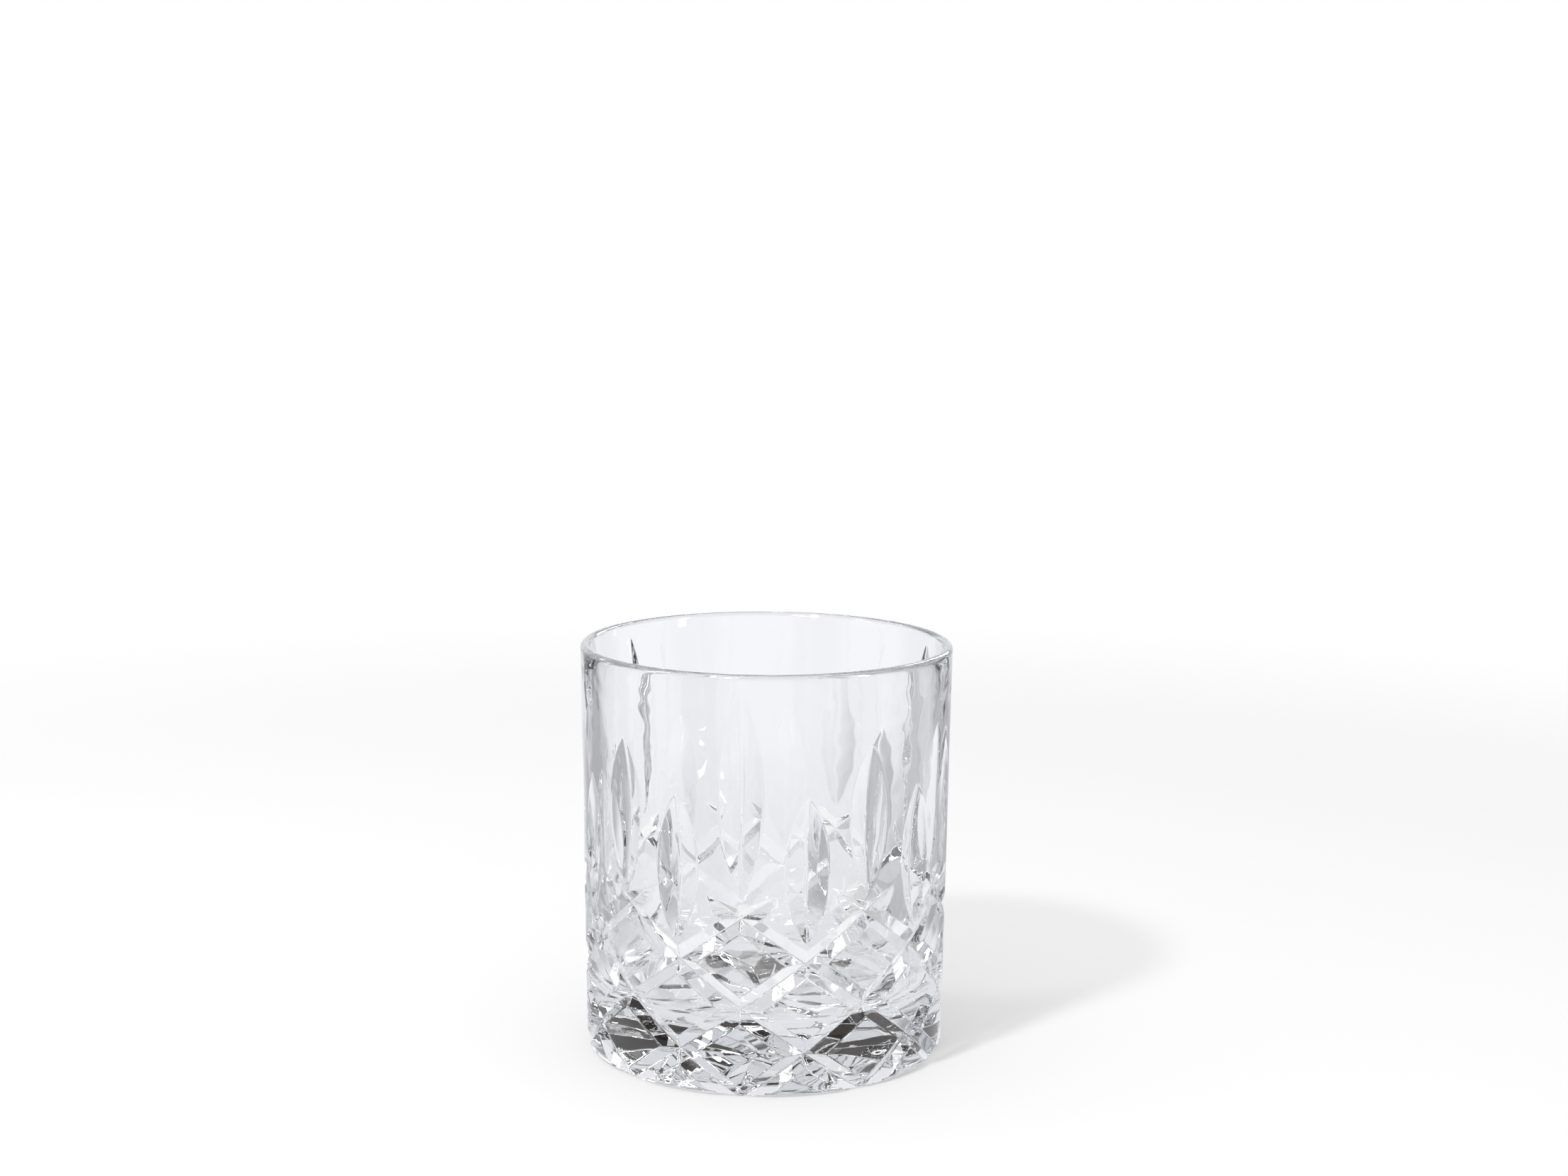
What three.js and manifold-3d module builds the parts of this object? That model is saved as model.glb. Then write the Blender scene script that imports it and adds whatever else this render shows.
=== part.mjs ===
// A whisky tumbler in clear cut glass: one straight-sided, thick-based body of glass.
// Millimetres, +Z up, standing on z = 0. A tall leaf of the ornament faces -Y.
import * as THREE from 'three';
import { mergeVertices, toCreasedNormals } from 'three/addons/utils/BufferGeometryUtils.js';
import Module from 'manifold-3d';

const wasm = await Module();
wasm.setup();

// Body of the glass
const rimDiameter = 83;
const footDiameter = 80.4;
const height = 92;
const rimWall = 2.2;
const shoulderWall = 3.4;
const shoulderDrop = 9;
const heelWall = 5.2;
const baseThickness = 13;
const floorFillet = 6.5;
const footRound = 2;
const footRingWidth = 5;
const puntDepth = 0.5;

// Crossed mitre cuts that leave rows of diamonds
const repeats = 9;
const lowestCrossing = 9.3;
const rowPitch = 10;
const crossingRows = 4;
const mitreHalfWidth = 2.5;
const mitreDepth = 1.5;
const mitreTail = 5.5;

// Upright pointed leaf cuts above the diamonds
const tallEvery = 3;
const leafHalfWidth = 4.8;
const leafDepth = 1.8;
const leafTaper = 0.75;
const leafGap = 4.4;
const tallLeafBelowRim = 2.8;
const middleLeafBelowRim = 15.5;
const shortLeafBelowRim = 26;

// Star cut in the underside
const starRays = 12;
const starHeart = 2;
const starReach = 34.5;
const starHalfWidth = 5;
const starDepth = 2.6;
const starTaper = 0.6;

// Fineness of the faceted surface
const turnSegments = 72;
const quarterSteps = 3;
const wallSteps = 4;
const mitreSteps = 15;
const leafSteps = 8;
const starSteps = 8;
const cutterReach = 2;
const mergeDistance = 1e-3;
const creaseAngle = Math.PI / 20;

const rimRound = rimWall / 2;
const rimRadius = rimDiameter / 2;
const footRadius = footDiameter / 2;
const puntRadius = footRadius - footRound - footRingWidth;
const puntBall = (puntRadius ** 2 + puntDepth ** 2) / (2 * puntDepth);
const columnStep = (2 * Math.PI) / repeats;
const topCrossing = lowestCrossing + rowPitch * (crossingRows - 1);

// Outer radius of the uncut wall at a height
const wallRadius = (z) => {
  const share = (z - footRound) / (height - rimRound - footRound);
  return THREE.MathUtils.lerp(footRadius, rimRadius, share);
};

// Height of the hollowed underside at a radius
const puntHeight = (radius) =>
  radius < puntRadius ? puntDepth - puntBall + Math.sqrt(puntBall ** 2 - radius ** 2) : 0;

// Unit vector away from the axis at an angle, which is 0 at the front
const outwardAt = (angle) => new THREE.Vector3(Math.sin(angle), -Math.cos(angle), 0);

// Points of an arc in the profile plane, from one angle to another
function arc(centreX, centreZ, radius, from, to, steps = quarterSteps) {
  return Array.from({ length: steps + 1 }, (_, i) => {
    const angle = THREE.MathUtils.lerp(from, to, i / steps);
    return new THREE.Vector2(centreX + radius * Math.cos(angle), centreZ + radius * Math.sin(angle));
  });
}

// Half section of the uncut glass: punt, foot ring, wall, rounded rim, bowl and floor
function blankProfile() {
  const quarter = Math.PI / 2;
  const puntHalfAngle = Math.asin(puntRadius / puntBall);
  const innerPoint = (z, wall) => new THREE.Vector2(wallRadius(z) - wall, z);
  const rimStart = innerPoint(height - rimRound, rimWall);
  const shoulder = innerPoint(height - shoulderDrop, shoulderWall);
  const heel = innerPoint(baseThickness + floorFillet, heelWall);
  return [
    ...arc(0, puntDepth - puntBall, puntBall, quarter, quarter - puntHalfAngle),
    ...arc(footRadius - footRound, footRound, footRound, -quarter, 0),
    ...arc(rimRadius - rimRound, height - rimRound, rimRound, 0, Math.PI, 2 * quarterSteps),
    ...new THREE.QuadraticBezierCurve(rimStart, shoulder, heel).getPoints(wallSteps).slice(1, -1),
    ...arc(heel.x - floorFillet, heel.y, floorFillet, 0, -quarter),
    new THREE.Vector2(0, baseThickness),
  ];
}

// A closed geometry as a solid for cutting, without the triangles that collapse on the axis
function solidOf(geometry) {
  geometry.deleteAttribute('normal');
  geometry.deleteAttribute('uv');
  const merged = mergeVertices(geometry, mergeDistance);
  const corners = merged.index.array;
  const kept = [];
  for (let i = 0; i < corners.length; i += 3) {
    const [a, b, c] = corners.slice(i, i + 3);
    if (a !== b && b !== c && c !== a) kept.push(a, b, c);
  }
  const triVerts = Uint32Array.from(kept);
  const vertProperties = merged.attributes.position.array;
  return new wasm.Manifold(new wasm.Mesh({ numProp: 3, vertProperties, triVerts }));
}

// A solid as a geometry again
function geometryOf(solid) {
  const { vertProperties, triVerts } = solid.getMesh();
  const geometry = new THREE.BufferGeometry();
  geometry.setAttribute('position', new THREE.BufferAttribute(vertProperties, 3));
  geometry.setIndex(new THREE.BufferAttribute(triVerts, 1));
  return geometry;
}

// A blade whose V-shaped sections, each a valley, a right and a left point, are joined in order
function bladeSolid(sections) {
  const positions = sections.flat().flatMap((point) => point.toArray());
  const index = [0, 2, 1];
  for (let i = 0; i < sections.length - 1; i += 1) {
    for (let side = 0; side < 3; side += 1) {
      const a = 3 * i + side;
      const b = 3 * i + ((side + 1) % 3);
      index.push(a, b, b + 3, a, b + 3, a + 3);
    }
  }
  const last = 3 * (sections.length - 1);
  index.push(last, last + 1, last + 2);
  const geometry = new THREE.BufferGeometry();
  geometry.setAttribute('position', new THREE.Float32BufferAttribute(positions, 3));
  geometry.setIndex(index);
  return solidOf(geometry);
}

// One section of a blade at a point of the surface: the V is depth deep and opens across the path
function bladeSection(surface, outward, along, depth, slope, reach) {
  const across = new THREE.Vector3().crossVectors(outward, along).normalize();
  const valley = surface.clone().addScaledVector(outward, -depth);
  const edge = (side) =>
    valley.clone().addScaledVector(across, side * reach).addScaledVector(outward, reach * slope);
  return [valley, edge(1), edge(-1)];
}

// One section of a blade that cuts the wall at an angle and a height
function wallSection(angle, z, along, depth, slope, reach) {
  const outward = outwardAt(angle);
  const surface = outward.clone().multiplyScalar(wallRadius(z)).setZ(z);
  return bladeSection(surface, outward, along, depth, slope, reach);
}

// A mitre cut from its tapered tail above the top crossing, down through the foot
function mitreBlade(startAngle, turn) {
  const slope = mitreDepth / mitreHalfWidth;
  const anglePerZ = (turn * columnStep) / 2 / rowPitch;
  const top = topCrossing + mitreTail;
  const bottom = -mitreDepth;
  const reach = mitreHalfWidth + cutterReach;
  const sections = Array.from({ length: mitreSteps + 1 }, (_, i) => {
    const z = THREE.MathUtils.lerp(top, bottom, i / mitreSteps);
    const angle = startAngle + anglePerZ * (topCrossing - z);
    const tangent = new THREE.Vector3(Math.cos(angle), Math.sin(angle), 0);
    const along = tangent.multiplyScalar(anglePerZ * wallRadius(z)).setZ(-1);
    const run = Math.min((top - z) / mitreTail, 1);
    const depth = mitreDepth * Math.sin((run * Math.PI) / 2);
    return wallSection(angle, z, along, depth, slope, reach);
  });
  return bladeSolid(sections);
}

// A leaf cut from its lower to its upper tip, widest and deepest half way
function leafBlade(angle, bottom, top) {
  const sagitta = leafHalfWidth ** 2 / (2 * wallRadius((bottom + top) / 2));
  const slope = (leafDepth - sagitta) / leafHalfWidth;
  const reach = leafDepth / slope + cutterReach;
  const along = new THREE.Vector3(0, 0, 1);
  const sections = Array.from({ length: leafSteps + 1 }, (_, i) => {
    const share = -Math.cos((Math.PI * i) / leafSteps);
    const z = THREE.MathUtils.lerp(bottom, top, (1 + share) / 2);
    const halfWidth = leafHalfWidth * (1 - share ** 2) ** leafTaper;
    const depth = halfWidth * slope + halfWidth ** 2 / (2 * wallRadius(z));
    return wallSection(angle, z, along, depth, slope, reach);
  });
  return bladeSolid(sections);
}

// A ray of the star, from near the middle of the underside to its tip in the foot ring
function starBlade(angle) {
  const slope = starDepth / starHalfWidth;
  const reach = starHalfWidth + cutterReach;
  const along = outwardAt(angle);
  const below = new THREE.Vector3(0, 0, -1);
  const sections = Array.from({ length: starSteps + 1 }, (_, i) => {
    const share = -Math.cos((Math.PI * i) / starSteps);
    const radius = THREE.MathUtils.lerp(starHeart, starReach, (1 + share) / 2);
    const depth = starDepth * (1 - share ** 2) ** starTaper;
    const surface = along.clone().multiplyScalar(radius).setZ(puntHeight(radius));
    return bladeSection(surface, below, along, depth, slope, reach);
  });
  return bladeSolid(sections);
}

// The uncut glass with every mitre and leaf taken out of its wall, and the star out of its underside
function tumblerGeometry() {
  const lathe = new THREE.LatheGeometry(blankProfile(), turnSegments).rotateX(Math.PI / 2);
  let glass = solidOf(lathe);
  for (let i = 0; i < repeats; i += 1) {
    const angle = i * columnStep;
    const upperTip = height - (i % tallEvery === 0 ? tallLeafBelowRim : middleLeafBelowRim);
    const cuts = [
      mitreBlade(angle, 1),
      mitreBlade(angle, -1),
      leafBlade(angle, topCrossing + leafGap, upperTip),
      leafBlade(angle + columnStep / 2, topCrossing - rowPitch + leafGap, height - shortLeafBelowRim),
    ];
    for (const cut of cuts) glass = glass.subtract(cut);
  }
  for (let i = 0; i < starRays; i += 1) {
    glass = glass.subtract(starBlade((2 * Math.PI * i) / starRays));
  }
  return toCreasedNormals(geometryOf(glass), creaseAngle);
}

const clearGlass = new THREE.MeshStandardMaterial({ color: 0xe9edf0, roughness: 0.04, metalness: 0 });
const tumbler = new THREE.Mesh(tumblerGeometry(), clearGlass);
tumbler.name = 'tumbler';

const part = new THREE.Group();
part.add(tumbler);

export default part;
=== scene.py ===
import bpy
import numpy as np
from mathutils import Matrix, Vector
from mathutils.geometry import delaunay_2d_cdt


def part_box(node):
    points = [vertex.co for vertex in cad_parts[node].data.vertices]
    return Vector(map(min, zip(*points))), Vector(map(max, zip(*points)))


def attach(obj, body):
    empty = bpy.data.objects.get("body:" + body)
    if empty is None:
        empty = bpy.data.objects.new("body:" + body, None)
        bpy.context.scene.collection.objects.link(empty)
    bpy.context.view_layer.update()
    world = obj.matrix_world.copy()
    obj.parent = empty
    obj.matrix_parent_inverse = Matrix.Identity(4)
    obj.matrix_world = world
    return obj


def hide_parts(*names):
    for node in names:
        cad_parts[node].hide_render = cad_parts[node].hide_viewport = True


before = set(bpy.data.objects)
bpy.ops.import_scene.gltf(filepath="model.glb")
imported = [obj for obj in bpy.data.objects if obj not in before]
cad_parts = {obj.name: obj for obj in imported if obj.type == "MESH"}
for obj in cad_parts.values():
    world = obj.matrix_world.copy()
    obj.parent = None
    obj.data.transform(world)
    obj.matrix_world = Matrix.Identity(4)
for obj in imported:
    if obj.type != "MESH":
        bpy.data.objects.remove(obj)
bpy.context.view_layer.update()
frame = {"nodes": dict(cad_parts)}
scene = bpy.context.scene
print("frame loaded:", ", ".join(frame["nodes"]))

# the uncut glass in metres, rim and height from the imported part
lowCorner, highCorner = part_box("tumbler")
glass = {
    "rimRadius": (highCorner[0] - lowCorner[0]) / 2,
    "height": highCorner[2],
    "footRadius": 0.0402,
    "rimWall": 0.0022,
    "shoulderWall": 0.0034,
    "shoulderDrop": 0.009,  # below the rim, where the wall's curve bends
    "heelWall": 0.0052,
    "baseThickness": 0.013,
    "floorFillet": 0.0065,
    "footRound": 0.002,
    "footRingWidth": 0.005,
    "puntDepth": 0.0005,
    "rimBand": 0.0025,  # plain turned band at the rim, above every cut
}

# the ornament, in metres
cuts = {
    "repeats": 9,
    "lowestCrossing": 0.0093,
    "rowPitch": 0.01,
    "crossingRows": 4,
    "mitreHalfWidth": 0.0025,
    "mitreDepth": 0.0015,
    "mitreTail": 0.0055,
    "tallEvery": 3,
    "leafHalfWidth": 0.0048,
    "leafDepth": 0.0018,
    "leafTaper": 0.75,
    "leafGap": 0.0044,
    "tallBelowRim": 0.0028,
    "middleBelowRim": 0.0155,
    "shortBelowRim": 0.026,
    "mitreEdge": 0.00025,  # half width of the polished edge beside a mitre
    "mitreValley": 0.0002,  # half width of the rounded bottom of a mitre
    "leafEdge": 0.0004,
    "leafValley": 0.0006,
    "crossRound": 0.00012,  # blend where two mitres cross
    "starRays": 12,  # star cut in the underside
    "starHeart": 0.002,  # radius of the plain middle
    "starReach": 0.0345,
    "starHalfWidth": 0.005,
    "starDepth": 0.0026,
    "starTaper": 0.6,
    "starRound": 0.00025,
}

# spacing of the wall's points in millimetres, and steps along each stretch of the mesh
gridMm = {"fill": 0.95, "along": 0.42, "border": 0.5, "merge": 0.03}
fineness = {
    "rimBand": 3,
    "rim": 14,
    "bowl": 26,
    "fillet": 10,
    "floor": 8,
    "punt": 18,
    "footRing": 6,
    "leafLine": 72,
    "crossing": 8,
}
mitreColumns = range(-4, 5)  # columns whose mitres may run through a half column
overrun = 0.1  # how far lines run past a half column, as a share of it
lineStart = 0.0002  # metres above the floor
rowShare = 0.87  # height of a row of near-equal triangles, as a share of their side
smallStep = 2e-5  # metres, for central differences
weldStep = 2e-6  # metres, nearer points are one

halfStep = np.pi / cuts["repeats"]  # a tall column to the next short one
topCrossing = cuts["lowestCrossing"] + cuts["rowPitch"] * (cuts["crossingRows"] - 1)
anglePerZ = halfStep / cuts["rowPitch"]
mitreTop = topCrossing + cuts["mitreTail"]
wallTop = glass["height"] - glass["rimBand"]


def wallRadius(z):
    # straight taper from the top of the foot's round to the start of the rim's round
    share = (z - glass["footRound"]) / (glass["height"] - glass["rimWall"] / 2 - glass["footRound"])
    return glass["footRadius"] + share * (glass["rimRadius"] - glass["footRadius"])


def roundedRamp(q, e):
    # 0 below -e, q above e, and the parabola (q + e)^2 / 4e between
    return np.where(q > e, q, np.where(q < -e, 0.0, (q + e) ** 2 / (4 * e)))


def roundedAbs(s, v):
    # |s| outside v, and the parabola (s^2 + v^2) / 2v inside
    return np.where(np.abs(s) > v, np.abs(s), (s * s + v * v) / (2 * v))


def mitreWidth(z):
    # full width below the top crossing, then a quarter sine down to nothing at the tail's end
    run = np.clip((mitreTop - z) / cuts["mitreTail"], 0, 1)
    return (cuts["mitreHalfWidth"] + cuts["mitreEdge"]) * np.sin(run * np.pi / 2) - cuts["mitreEdge"]


def mitreRise(z):
    # sine of a mitre's angle to the horizontal, on the wall at z
    return 1 / np.hypot(1, anglePerZ * wallRadius(z))


def mitreDepth(angle, z):
    # two families of helices, angle = +-anglePerZ (z - topCrossing), each a rounded V of one slope
    slope = cuts["mitreDepth"] / cuts["mitreHalfWidth"]
    depth = []
    for turn in (1, -1):
        off = angle - turn * anglePerZ * (z - topCrossing)
        off = (off + halfStep) % (2 * halfStep) - halfStep
        across = off * wallRadius(z) * mitreRise(z)
        inside = mitreWidth(z) - roundedAbs(across, cuts["mitreValley"])
        depth.append(slope * roundedRamp(inside, cuts["mitreEdge"]))
    near = np.clip(1 - np.abs(depth[0] - depth[1]) / cuts["crossRound"], 0, 1)
    blend = cuts["crossRound"] / 4 * near**2 * (np.minimum(*depth) > 0)
    return np.maximum(*depth) + blend


def leafWidth(z, bottom, top):
    # half width W (1 - t^2)^taper, t from -1 at the lower tip to 1 at the upper, less the edge's round
    t = (2 * z - bottom - top) / (top - bottom)
    full = cuts["leafHalfWidth"] + cuts["leafEdge"]
    return full * np.clip(1 - t * t, 0, 1) ** cuts["leafTaper"] - cuts["leafEdge"]


def leafDepth(angle, z, bottom, top):
    # a rounded V of two flat facets, so its depth under the round wall also grows by (w^2 - s^2) / 2R
    radius = wallRadius(z)
    sagitta = cuts["leafHalfWidth"] ** 2 / (2 * wallRadius((bottom + top) / 2))
    slope = (cuts["leafDepth"] - sagitta) / cuts["leafHalfWidth"]
    across = roundedAbs(angle * radius, cuts["leafValley"])
    width = leafWidth(z, bottom, top)
    return roundedRamp(width - across, cuts["leafEdge"]) * (slope + np.abs(width + across) / (2 * radius))


longBottom = topCrossing + cuts["leafGap"]
shortBottom = longBottom - cuts["rowPitch"]
shortTop = glass["height"] - cuts["shortBelowRim"]


def wallPoint(angle, run, longTop):
    # run is the height on the wall, and goes on as arc length round the foot's edge;
    # the radius is the smaller of the uncut outline and the taper less the deepest cut
    turn = np.clip((glass["footRound"] - run) / glass["footRound"], 0, np.pi / 2)
    z = np.where(turn > 0, glass["footRound"] * (1 - np.sin(turn)), run)
    footEdge = glass["footRadius"] - glass["footRound"] * (1 - np.cos(turn))
    outline = np.where(turn > 0, footEdge, wallRadius(z))
    folded = np.abs((angle + halfStep) % (2 * halfStep) - halfStep)  # each half column mirrors the next
    depth = np.maximum(mitreDepth(folded, z), leafDepth(folded, z, longBottom, longTop))
    depth = np.maximum(depth, leafDepth(halfStep - folded, z, shortBottom, shortTop))
    radius = np.minimum(outline, wallRadius(z) - depth)
    return np.stack([radius * np.sin(angle), -radius * np.cos(angle), z], -1)


def runOf(z):
    # the run that gives a height, also below the top of the foot's round
    foot = glass["footRound"]
    return np.where(z < foot, foot - foot * np.arcsin(np.clip((foot - z) / foot, 0, 1)), z)


refRadius = wallRadius(glass["height"] / 2)
runLow = glass["footRound"] * (1 - np.pi / 2)


def flat(angle, z):
    # a point of the wall unrolled to millimetres
    return np.stack([angle * refRadius, runOf(z)], -1) * 1000


def ornamentLines(longTop):
    # lines that the wall's triangles must follow: valleys and both sides of every polished edge
    lines = []
    edge, valley = cuts["mitreEdge"], cuts["mitreValley"]
    z = np.arange(lineStart, mitreTop, gridMm["along"] / 1000)
    width = mitreWidth(z)
    offsets = [np.zeros_like(z), np.minimum(valley, width), width - edge, width, width + edge]
    for turn in (1, -1):
        for column in mitreColumns:
            for offset in offsets:
                for side in (1, -1):
                    across = side * np.clip(offset, 0, None) / (wallRadius(z) * mitreRise(z))
                    angle = turn * anglePerZ * (z - topCrossing) + column * 2 * halfStep + across
                    seen = (angle > -overrun * halfStep) & (angle < (1 + overrun) * halfStep)
                    if seen.sum() > 1:
                        lines.append(flat(angle[seen], z[seen]))
    for row in range(cuts["crossingRows"]):
        level = topCrossing - row * cuts["rowPitch"]
        reach = np.linspace(0, cuts["mitreHalfWidth"] / mitreRise(level), fineness["crossing"]) / refRadius
        for lift in (-cuts["crossRound"], 0, cuts["crossRound"]):
            angle = reach if row % 2 == 0 else halfStep - reach
            lines.append(flat(angle, np.full_like(angle, level + lift)))
    edge, valley = cuts["leafEdge"], cuts["leafValley"]
    turns = np.linspace(0, np.pi, fineness["leafLine"])
    leaves = ((longBottom, longTop, 0, 1), (shortBottom, shortTop, halfStep, -1))
    for bottom, top, middle, side in leaves:
        z = (bottom + top - (top - bottom) * np.cos(turns)) / 2
        width = leafWidth(z, bottom, top)
        for offset in (np.minimum(valley, width), width - edge, width, width + edge):
            keep = offset > 2 * gridMm["merge"] / 1000
            lines.append(flat(middle + side * offset[keep] / wallRadius(z[keep]), z[keep]))
    return lines


def halfColumn(longTop):
    # triangles of the wall from the middle of a long leaf to the middle of a short one
    wide = halfStep * refRadius * 1000
    low, high = runLow * 1000, wallTop * 1000
    steps = round(np.degrees(halfStep))
    across = np.linspace(0, wide, steps + 1)
    up = np.linspace(low, high, round((high - low) / gridMm["border"]) + 1)
    border = np.concatenate([
        np.stack([across, np.full_like(across, low)], -1)[:-1],
        np.stack([np.full_like(up, wide), up], -1)[:-1],
        np.stack([across[::-1], np.full_like(across, high)], -1)[:-1],
        np.stack([np.zeros_like(up), up[::-1]], -1)[:-1],
    ])
    gap = gridMm["fill"]
    fillX, fillY = np.meshgrid(
        np.arange(gap / 2, wide - gap / 3, gap),
        np.arange(low + gap, high - gap / 2, gap * rowShare),
    )
    fillX = fillX + (np.arange(len(fillY))[:, None] % 2) * gap / 2
    fill = np.stack([fillX, fillY], -1).reshape(-1, 2)
    fill = fill[fill[:, 0] < wide - gap / 3]
    points, edges, start = [border], [], len(border)
    edges.append(np.stack([np.arange(start), (np.arange(start) + 1) % start], -1))
    for line in ornamentLines(longTop):
        index = np.arange(start, start + len(line))
        edges.append(np.stack([index[:-1], index[1:]], -1))
        points.append(line)
        start += len(line)
    points.append(fill)
    allPoints = np.concatenate(points)
    made = delaunay_2d_cdt(
        [Vector(p) for p in allPoints.tolist()],
        np.concatenate(edges).tolist(),
        [list(range(len(border)))],
        1,
        gridMm["merge"],
        False,
    )
    flatPoints = np.array([tuple(v) for v in made[0]])
    triangles = np.array(made[2])
    middle = flatPoints[triangles].mean(1)[:, 0]
    triangles = triangles[(middle > 0) & (middle < wide)]  # lines run on past the column
    angle, run = flatPoints[:, 0] / 1000 / refRadius, flatPoints[:, 1] / 1000
    near = 1.1 * gridMm["merge"] / 1000  # points this near the border belong to it
    angle = np.where((halfStep - angle) * refRadius < near, halfStep, angle)
    angle = np.where(angle * refRadius < near, 0, angle)
    run = np.where(run - runLow < near, runLow, np.where(wallTop - run < near, wallTop, run))
    onEnd = (run == runLow) | (run == wallTop)
    angle = np.where(onEnd, np.round(angle / halfStep * steps) * halfStep / steps, angle)
    return angle, run, triangles


def wallNormals(angle, run, longTop):
    # cross product of the two tangents, each from a central difference
    dAngle, dRun = smallStep / refRadius, smallStep
    alongAngle = wallPoint(angle + dAngle, run, longTop) - wallPoint(angle - dAngle, run, longTop)
    alongRun = wallPoint(angle, run + dRun, longTop) - wallPoint(angle, run - dRun, longTop)
    normal = np.cross(alongAngle, alongRun)
    return normal / np.linalg.norm(normal, axis=1, keepdims=True)


def turnedSurface(profile):
    # a profile of (radius, z) points turned about the axis, at the same angles as the wall's border
    count = 2 * cuts["repeats"] * round(np.degrees(halfStep))
    angle = np.arange(count) * 2 * np.pi / count
    step = np.diff(profile, axis=0)
    step = step / np.linalg.norm(step, axis=1, keepdims=True)
    tangent = np.concatenate([step[:1], step[:-1] + step[1:], step[-1:]])
    tangent = tangent / np.linalg.norm(tangent, axis=1, keepdims=True)
    radial = np.stack([np.sin(angle), -np.cos(angle), np.zeros(count)], -1)
    upward = np.array([0, 0, 1.0])
    points = profile[:, None, :1] * radial + profile[:, None, 1:] * upward
    normals = tangent[:, None, 1:] * radial - tangent[:, None, :1] * upward
    index = np.arange(len(profile) * count).reshape(len(profile), count)
    a, b = index[:-1], np.roll(index, -1, 1)[:-1]
    d, c = index[1:], np.roll(index, -1, 1)[1:]
    halves = [np.stack([a, b, c], -1).reshape(-1, 3), np.stack([a, c, d], -1).reshape(-1, 3)]
    triangles = np.concatenate(halves)
    return points.reshape(-1, 3), normals.reshape(-1, 3), triangles


def starDepth(radius, angle):
    # rounded V rays, half width W (1 - t^2)^taper, t from -1 at the heart to 1 at the reach
    ray = np.pi / cuts["starRays"]
    edge = cuts["starRound"]
    across = roundedAbs(radius * np.sin((angle + ray) % (2 * ray) - ray), edge)
    t = (2 * radius - cuts["starHeart"] - cuts["starReach"]) / (cuts["starReach"] - cuts["starHeart"])
    width = (cuts["starHalfWidth"] + edge) * np.clip(1 - t * t, 0, 1) ** cuts["starTaper"] - edge
    return roundedRamp(width - across, edge) * cuts["starDepth"] / cuts["starHalfWidth"]


def starSurface(profile):
    # the turned underside with the star's depth added to its height, normals from central differences
    points, normals, triangles = turnedSurface(profile)
    radius, angle = np.hypot(points[:, 0], points[:, 1]), np.arctan2(points[:, 0], -points[:, 1])
    points[:, 2] += starDepth(radius, angle)
    d = smallStep
    alongRadius = (starDepth(radius + d, angle) - starDepth(np.abs(radius - d), angle)) / (2 * d)
    turn = d / np.maximum(radius, d)
    alongTurn = (starDepth(radius, angle + turn) - starDepth(radius, angle - turn)) / (2 * d)
    outward = np.stack([np.sin(angle), -np.cos(angle), 0 * angle], -1)
    onward = np.stack([np.cos(angle), np.sin(angle), 0 * angle], -1)
    down = np.maximum(-normals[:, 2:], 0.1)  # the underside faces down everywhere
    normals = normals + down * (alongRadius[:, None] * outward + alongTurn[:, None] * onward)
    normals[radius < d] = (0, 0, -1)
    return points, normals / np.linalg.norm(normals, axis=1, keepdims=True), triangles


def arcPoints(centreR, centreZ, radius, fromTurn, toTurn, steps):
    turn = np.linspace(fromTurn, toTurn, steps + 1)
    return np.stack([centreR + radius * np.cos(turn), centreZ + radius * np.sin(turn)], -1)


def linePoints(start, end, steps):
    return np.linspace(start, end, steps + 1)


def curvePoints(start, bend, end, steps):
    # a quadratic curve, (1 - s)^2 start + 2 s (1 - s) bend + s^2 end
    s = np.linspace(0, 1, steps + 1)[:, None]
    return (1 - s) ** 2 * np.array(start) + 2 * s * (1 - s) * np.array(bend) + s**2 * np.array(end)


def joined(*stretches):
    # stretches of a profile end to end, each meeting point kept once
    return np.concatenate([stretches[0]] + [s[1:] for s in stretches[1:]])


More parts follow.
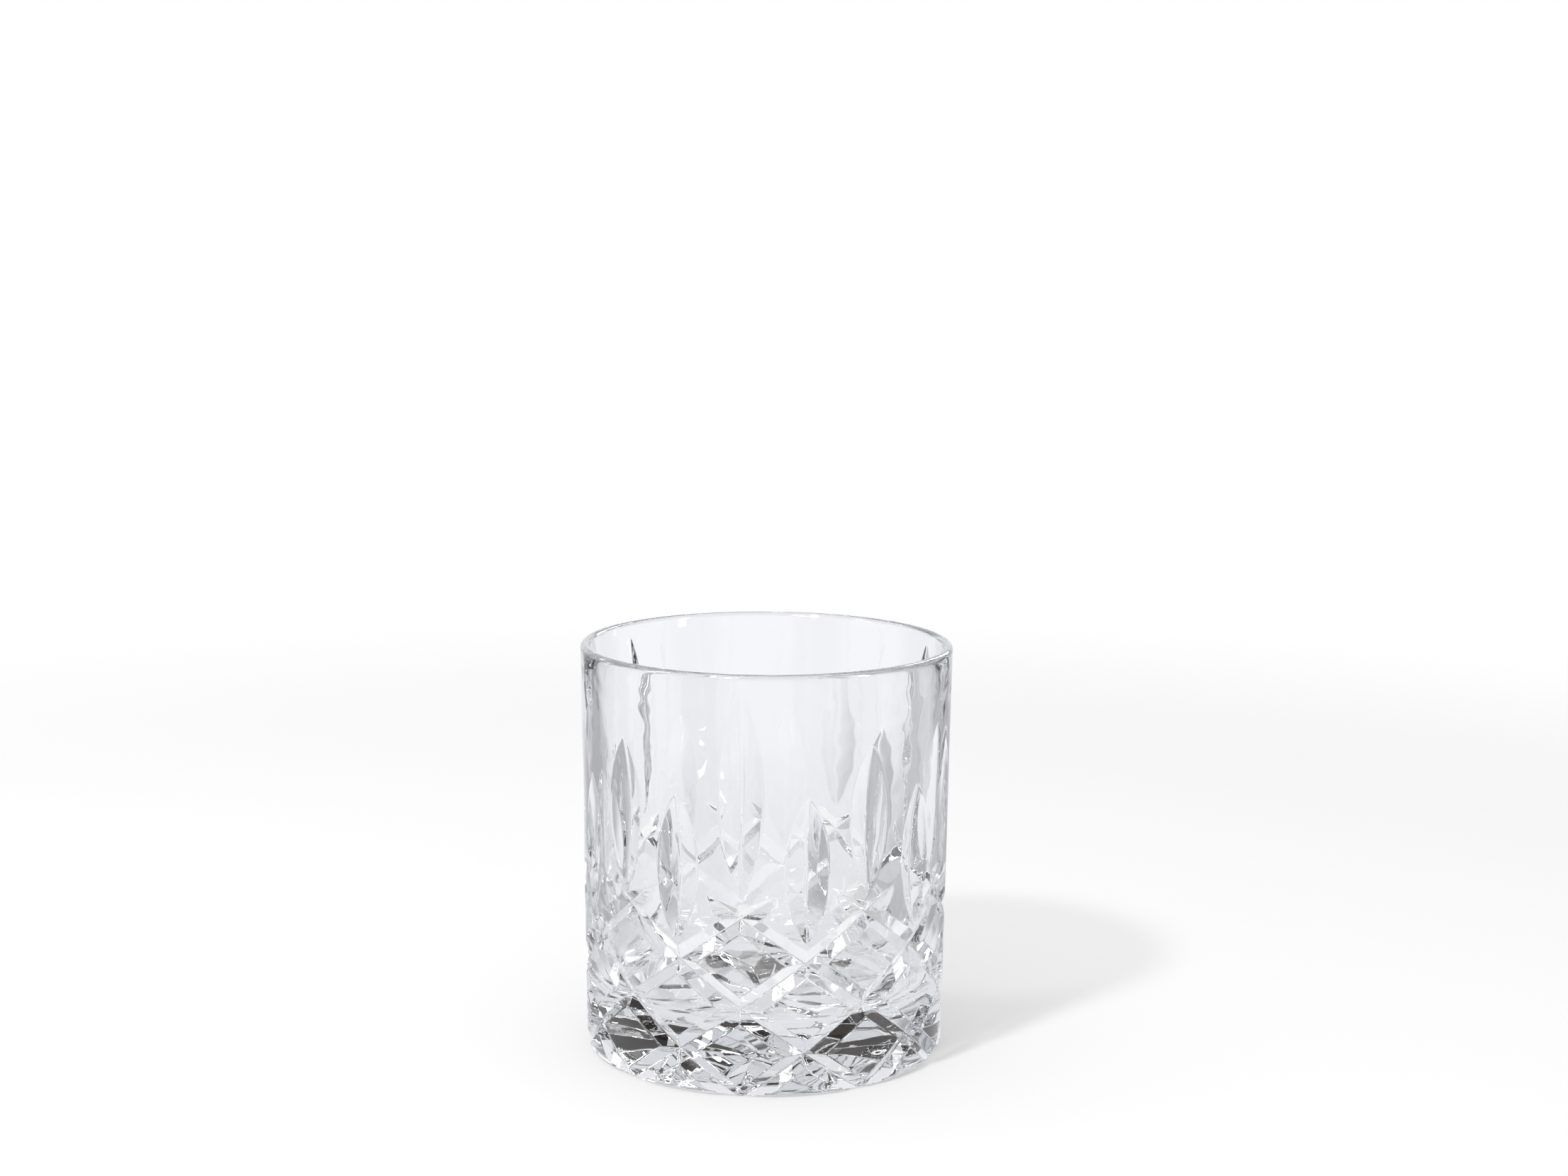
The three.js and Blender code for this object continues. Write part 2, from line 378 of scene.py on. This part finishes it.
def tumblerMesh():
    rimRound = glass["rimWall"] / 2
    rimZ = glass["height"] - rimRound
    heelZ = glass["baseThickness"] + glass["floorFillet"]
    heelR = wallRadius(heelZ) - glass["heelWall"]
    floorR = heelR - glass["floorFillet"]
    innerR = glass["rimRadius"] - glass["rimWall"]
    shoulderZ = glass["height"] - glass["shoulderDrop"]
    shoulderR = wallRadius(shoulderZ) - glass["shoulderWall"]
    upper = joined(
        linePoints((wallRadius(wallTop), wallTop), (glass["rimRadius"], rimZ), fineness["rimBand"]),
        arcPoints(glass["rimRadius"] - rimRound, rimZ, rimRound, 0, np.pi, fineness["rim"]),
        curvePoints((innerR, rimZ), (shoulderR, shoulderZ), (heelR, heelZ), fineness["bowl"]),
        arcPoints(floorR, heelZ, glass["floorFillet"], 0, -np.pi / 2, fineness["fillet"]),
        linePoints((floorR, glass["baseThickness"]), (0, glass["baseThickness"]), fineness["floor"]),
    )
    footR = glass["footRadius"] - glass["footRound"]
    puntR = footR - glass["footRingWidth"]
    puntBall = (puntR**2 + glass["puntDepth"] ** 2) / (2 * glass["puntDepth"])
    puntZ = glass["puntDepth"] - puntBall
    puntTurn = np.pi / 2 - np.arcsin(puntR / puntBall)
    lower = joined(
        arcPoints(0, puntZ, puntBall, np.pi / 2, puntTurn, fineness["punt"]),
        linePoints((puntR, 0), (footR, 0), fineness["footRing"]),
    )
    parts = [turnedSurface(upper), starSurface(lower)]
    for belowRim, columns in (
        (cuts["tallBelowRim"], [i for i in range(cuts["repeats"]) if i % cuts["tallEvery"] == 0]),
        (cuts["middleBelowRim"], [i for i in range(cuts["repeats"]) if i % cuts["tallEvery"]]),
    ):
        longTop = glass["height"] - belowRim
        angle, run, triangles = halfColumn(longTop)
        for column in columns:
            for side in (1, -1):
                turned = side * angle + column * 2 * halfStep
                points = wallPoint(turned, run, longTop)
                parts.append((points, wallNormals(turned, run, longTop), triangles[:, ::side]))
    starts = np.cumsum([0] + [len(p[0]) for p in parts[:-1]])
    points = np.concatenate([p[0] for p in parts])
    normals = np.concatenate([p[1] for p in parts])
    triangles = np.concatenate([p[2] + s for p, s in zip(parts, starts)])
    places = np.round(points / weldStep)
    _, first, weld = np.unique(places, axis=0, return_index=True, return_inverse=True)
    triangles = weld.reshape(-1)[triangles]
    whole = (triangles != np.roll(triangles, 1, axis=1)).all(1)
    used, corners = np.unique(triangles[whole], return_inverse=True)
    mesh = bpy.data.meshes.new("tumblerGlass")
    mesh.from_pydata(points[first][used].tolist(), [], corners.reshape(-1, 3).tolist())
    mesh.polygons.foreach_set("use_smooth", np.ones(len(mesh.polygons), dtype=bool))
    mesh.normals_split_custom_set_from_vertices(normals[first][used].tolist())
    mesh.update()
    return mesh


# material: clear polished glass
clearGlass = {
    "tint": (1, 1, 1, 1),
    "ior": 1.52,
    "transmission": 1.0,
    "roughness": 0.0,
    "depthTint": (0.5, 0.54, 0.57, 1),
    "depthDensity": 7.0,  # absorption per metre of glass, times one less the tint
    "rippleSize": 140.0,  # noise cells per metre
    "rippleDetail": 1.0,
    "rippleDepth": 0.0001,  # metres
    "shadow": (0.72, 0.72, 0.72, 1),  # light that one surface lets through to the floor
}


def glassMaterial():
    material = bpy.data.materials.new("clearGlass")
    material.use_nodes = True
    nodes, links = material.node_tree.nodes, material.node_tree.links
    shader = nodes["Principled BSDF"]
    shader.inputs["Base Color"].default_value = clearGlass["tint"]
    shader.inputs["Transmission Weight"].default_value = clearGlass["transmission"]
    shader.inputs["IOR"].default_value = clearGlass["ior"]
    shader.inputs["Roughness"].default_value = clearGlass["roughness"]
    place = nodes.new("ShaderNodeTexCoord")
    ripple = nodes.new("ShaderNodeTexNoise")
    ripple.inputs["Scale"].default_value = clearGlass["rippleSize"]
    ripple.inputs["Detail"].default_value = clearGlass["rippleDetail"]
    bump = nodes.new("ShaderNodeBump")
    bump.inputs["Distance"].default_value = clearGlass["rippleDepth"]
    links.new(place.outputs["Object"], ripple.inputs["Vector"])
    links.new(ripple.outputs["Fac"], bump.inputs["Height"])
    links.new(bump.outputs["Normal"], shader.inputs["Normal"])
    clear = nodes.new("ShaderNodeBsdfTransparent")
    clear.inputs["Color"].default_value = clearGlass["shadow"]
    path = nodes.new("ShaderNodeLightPath")
    mix = nodes.new("ShaderNodeMixShader")
    links.new(path.outputs["Is Shadow Ray"], mix.inputs["Fac"])
    links.new(shader.outputs["BSDF"], mix.inputs[1])
    links.new(clear.outputs["BSDF"], mix.inputs[2])
    links.new(mix.outputs["Shader"], nodes["Material Output"].inputs["Surface"])
    depth = nodes.new("ShaderNodeVolumeAbsorption")
    depth.inputs["Color"].default_value = clearGlass["depthTint"]
    depth.inputs["Density"].default_value = clearGlass["depthDensity"]
    links.new(depth.outputs["Volume"], nodes["Material Output"].inputs["Volume"])
    return material


tumbler = bpy.data.objects.new("tumblerGlass", tumblerMesh())
scene.collection.objects.link(tumbler)
tumbler.data.materials.append(glassMaterial())
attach(tumbler, "root")
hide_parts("tumbler")
print("tumbler:", len(tumbler.data.vertices), "points,", len(tumbler.data.polygons), "triangles")

# camera fitted to the photograph's outline; angles in degrees
view = {
    "azimuth": 7.3,
    "distance": 0.561,
    "height": 0.1913,
    "yaw": -0.385,
    "pitch": 8.845,
    "roll": 0.44,
    "focalPixels": 3600,
    "photoWidth": 2212,
    "sensorWidth": 36,
    "clipStart": 0.01,
}


def makeCamera():
    camera = bpy.data.cameras.new("camera")
    camera.sensor_width = view["sensorWidth"]
    camera.lens = camera.sensor_width * view["focalPixels"] / view["photoWidth"]
    camera.clip_start = view["clipStart"]
    yaw, pitch, roll = np.radians([view["yaw"], view["pitch"], view["roll"]])
    right = Vector((np.cos(yaw), np.sin(yaw), 0))
    ahead = Vector((-np.sin(yaw), np.cos(yaw), 0))
    up = Vector((0, 0, 1))
    look = ahead * np.cos(pitch) - up * np.sin(pitch)
    over = up * np.cos(pitch) + ahead * np.sin(pitch)
    side = right * np.cos(roll) + over * np.sin(roll)
    top = over * np.cos(roll) - right * np.sin(roll)
    place = Matrix((
        (side.x, top.x, -look.x, 0),
        (side.y, top.y, -look.y, -view["distance"]),
        (side.z, top.z, -look.z, view["height"]),
        (0, 0, 0, 1),
    ))
    body = bpy.data.objects.new("camera", camera)
    body.matrix_world = Matrix.Rotation(np.radians(view["azimuth"]), 4, "Z") @ place
    scene.collection.objects.link(body)
    return body


scene.camera = makeCamera()

# floor, room and lamps; tones are linear, 1 is white
studio = {
    "floorSize": 8.0,
    "floorColour": (0.99, 0.99, 0.99, 1),
    "shadowShare": 0.6,  # how much of the lit floor shows beside its plain white
    "shadowReach": (0.3, 0.6),  # metres over which the floor turns wholly white
    "tint": (0.965, 0.968, 1.0),  # cool cast of the table as the glass shows it
    "tableReach": 0.8,  # metres from the middle to the last of the next tones
    # tone of the table as the glass shows it; the darker tones near the middle are painted shadow of the
    # glass on the table
    "tableTonesAndPaintedShadow": ((0.0, 0.86), (0.15, 0.88), (0.4, 0.97), (1.0, 0.97)),
    "room": 0.6,  # light of the room on matt surfaces
    "roomTones": (  # by sine of elevation
        (0.0, (1.0, 1.0, 1.0)),
        (0.25, (1.0, 1.0, 1.0)),
        (0.38, (0.24, 0.23, 0.23)),
        (0.58, (0.055, 0.044, 0.037)),
        (1.0, (0.025, 0.02, 0.016)),
    ),
    "panels": 4,  # soft bright panels round the glass
    "panelTurn": 8.0,  # degrees from straight behind the glass to the middle of a panel
    "panelGap": 0.5,  # tone between two panels, of the room's light and of the table's painted shade
    "panelEdge": (-0.9, 0.1),  # of the cosine, from a gap to a panel
    "panelReach": (0.045, 0.1),  # metres over which their painted light and shade begin on the table
    "keyPower": 11.0,
    "keySize": 0.12,
    "keyPlace": (-0.45, -0.77, 0.95),
    "keyAim": (0, 0, 0.04),
    "strips": ((-75, 0.7), (-25, 0.9), (60, 0.45), (150, 0.6)),  # azimuth in degrees, height
    "stripAim": (0, 0, 0.05),
    "stripAway": 1.1,
    "stripSize": (0.16, 0.7),
    "stripPower": 4.0,
    "bounces": 24,
    "glossyBounces": 16,
}


def mathNode(nodes, links, operation, *values):
    # one Math node; each value is a number or an output socket
    node = nodes.new("ShaderNodeMath")
    node.operation = operation
    for slot, value in zip(node.inputs, values):
        if isinstance(value, (int, float)):
            slot.default_value = value
        else:
            links.new(value, slot)
    return node.outputs["Value"]


def mapped(nodes, links, value, fromLow, fromHigh, toLow, toHigh):
    # one smooth step from toLow to toHigh
    node = nodes.new("ShaderNodeMapRange")
    node.interpolation_type = "SMOOTHSTEP"
    ends = {"From Min": fromLow, "From Max": fromHigh, "To Min": toLow, "To Max": toHigh}
    for name, number in ends.items():
        node.inputs[name].default_value = number
    links.new(value, node.inputs["Value"])
    return node.outputs["Result"]


def toneRamp(nodes, links, value, tones):
    # a grey or a colour for each place along a value from 0 to 1
    ramp = nodes.new("ShaderNodeValToRGB")
    stops = ramp.color_ramp.elements
    while len(stops) < len(tones):
        stops.new(0.5)
    for stop, (place, tone) in zip(stops, tones):
        stop.position = place
        stop.color = tuple(np.broadcast_to(tone, 3)) + (1,)
    links.new(value, ramp.inputs["Fac"])
    return ramp.outputs["Color"]


def blended(nodes, links, share, first, second):
    # a Mix Shader of two shaders; share is a number or an output socket
    mix = nodes.new("ShaderNodeMixShader")
    if isinstance(share, (int, float)):
        mix.inputs["Fac"].default_value = share
    else:
        links.new(share, mix.inputs["Fac"])
    links.new(first, mix.inputs[1])
    links.new(second, mix.inputs[2])
    return mix.outputs["Shader"]


def panelTone(nodes, links, place):
    # soft bright panels round the glass: a smooth step of the cosine of so many times the azimuth
    split = nodes.new("ShaderNodeSeparateXYZ")
    links.new(place, split.inputs[0])
    azimuth = mathNode(nodes, links, "ARCTAN2", split.outputs["X"], split.outputs["Y"])
    phase = float(np.radians(view["azimuth"] + studio["panelTurn"])) * studio["panels"]
    turn = mathNode(nodes, links, "MULTIPLY_ADD", azimuth, studio["panels"], phase)
    wave = mathNode(nodes, links, "COSINE", turn)
    tone = mapped(nodes, links, wave, *studio["panelEdge"], studio["panelGap"], 1)
    return tone, split.outputs["Z"]


def makeFloor():
    half = studio["floorSize"] / 2
    mesh = bpy.data.meshes.new("floor")
    corners = [(-half, -half, 0), (half, -half, 0), (half, half, 0), (-half, half, 0)]
    mesh.from_pydata(corners, [], [(0, 1, 2, 3)])
    floor = bpy.data.objects.new("floor", mesh)
    scene.collection.objects.link(floor)
    material = bpy.data.materials.new("paleFloor")
    material.use_nodes = True
    nodes, links = material.node_tree.nodes, material.node_tree.links
    lit = nodes["Principled BSDF"]
    lit.inputs["Base Color"].default_value = studio["floorColour"]
    lit.inputs["Roughness"].default_value = 1.0
    lit.inputs["Specular IOR Level"].default_value = 0.0
    place = nodes.new("ShaderNodeTexCoord")
    reach = nodes.new("ShaderNodeVectorMath")
    reach.operation = "LENGTH"
    links.new(place.outputs["Object"], reach.inputs[0])
    away = reach.outputs["Value"]
    white = nodes.new("ShaderNodeEmission")
    toned = nodes.new("ShaderNodeEmission")
    toned.inputs["Color"].default_value = studio["tint"] + (1,)
    # the table as the glass shows it: its own tone, darker near the glass by painted shadow
    part = mathNode(nodes, links, "DIVIDE", away, studio["tableReach"])
    tone = toneRamp(nodes, links, part, studio["tableTonesAndPaintedShadow"])
    # painted light and shade from the panels: the table darker towards the gaps between them, from a
    # little way out
    panel, _ = panelTone(nodes, links, place.outputs["Object"])
    far = mapped(nodes, links, away, *studio["panelReach"], 0, 1)
    paintedPanelShade = mathNode(nodes, links, "MULTIPLY", mathNode(nodes, links, "SUBTRACT", 1, panel), far)
    strength = mathNode(nodes, links, "MULTIPLY", tone, mathNode(nodes, links, "SUBTRACT", 1, paintedPanelShade))
    links.new(strength, toned.inputs["Strength"])
    fade = mapped(nodes, links, away, *studio["shadowReach"], 1 - studio["shadowShare"], 1)
    plain = blended(nodes, links, fade, lit.outputs["BSDF"], white.outputs["Emission"])
    path = nodes.new("ShaderNodeLightPath")
    both = blended(nodes, links, path.outputs["Is Camera Ray"], toned.outputs["Emission"], plain)
    links.new(both, nodes["Material Output"].inputs["Surface"])
    mesh.materials.append(material)


def makeRoom():
    # the glass shows a tone for each height above the floor and soft panels; the camera sees white
    world = bpy.data.worlds.new("room")
    scene.world = world
    world.use_nodes = True
    nodes, links = world.node_tree.nodes, world.node_tree.links
    light = nodes["Background"]
    light.inputs["Strength"].default_value = studio["room"]
    light.inputs["Color"].default_value = (1, 1, 1, 1)
    seen = nodes.new("ShaderNodeBackground")
    place = nodes.new("ShaderNodeTexCoord")
    panel, height = panelTone(nodes, links, place.outputs["Generated"])
    tone = toneRamp(nodes, links, height, studio["roomTones"])
    links.new(tone, seen.inputs["Color"])
    links.new(panel, seen.inputs["Strength"])
    path = nodes.new("ShaderNodeLightPath")
    glossy, through = path.outputs["Is Glossy Ray"], path.outputs["Is Transmission Ray"]
    inGlass = mathNode(nodes, links, "MAXIMUM", glossy, through)
    white = nodes.new("ShaderNodeBackground")
    white.inputs["Color"].default_value = (1, 1, 1, 1)
    around = blended(nodes, links, inGlass, light.outputs["Background"], seen.outputs["Background"])
    whole = blended(nodes, links, path.outputs["Is Camera Ray"], around, white.outputs["Background"])
    links.new(whole, nodes["World Output"].inputs["Surface"])


def makeLamp(name, place, aim, size, power):
    lamp = bpy.data.lights.new(name, "AREA")
    lamp.shape = "DISK"
    lamp.size = size
    lamp.energy = power
    body = bpy.data.objects.new(name, lamp)
    body.location = place
    body.rotation_euler = (Vector(aim) - Vector(place)).to_track_quat("-Z", "Y").to_euler()
    scene.collection.objects.link(body)
    return body


def makeStrips():
    # tall strip lights that only the glass shows, as edges of light
    for turn, height in studio["strips"]:
        azimuth = np.radians(turn + view["azimuth"])
        place = (studio["stripAway"] * np.sin(azimuth), -studio["stripAway"] * np.cos(azimuth), height)
        width, length = studio["stripSize"]
        strip = makeLamp("stripLight", place, studio["stripAim"], width, studio["stripPower"])
        strip.data.shape = "RECTANGLE"
        strip.data.size_y = length
        strip.visible_diffuse = False


makeFloor()
makeRoom()
makeStrips()
makeLamp("keyLamp", studio["keyPlace"], studio["keyAim"], studio["keySize"], studio["keyPower"])
scene.view_settings.view_transform = "Standard"
scene.cycles.caustics_refractive = False  # the glass's shadow comes from its shadow colour alone
scene.cycles.caustics_reflective = False
scene.cycles.max_bounces = studio["bounces"]
scene.cycles.transmission_bounces = studio["bounces"]
scene.cycles.glossy_bounces = studio["glossyBounces"]
print("studio ready")
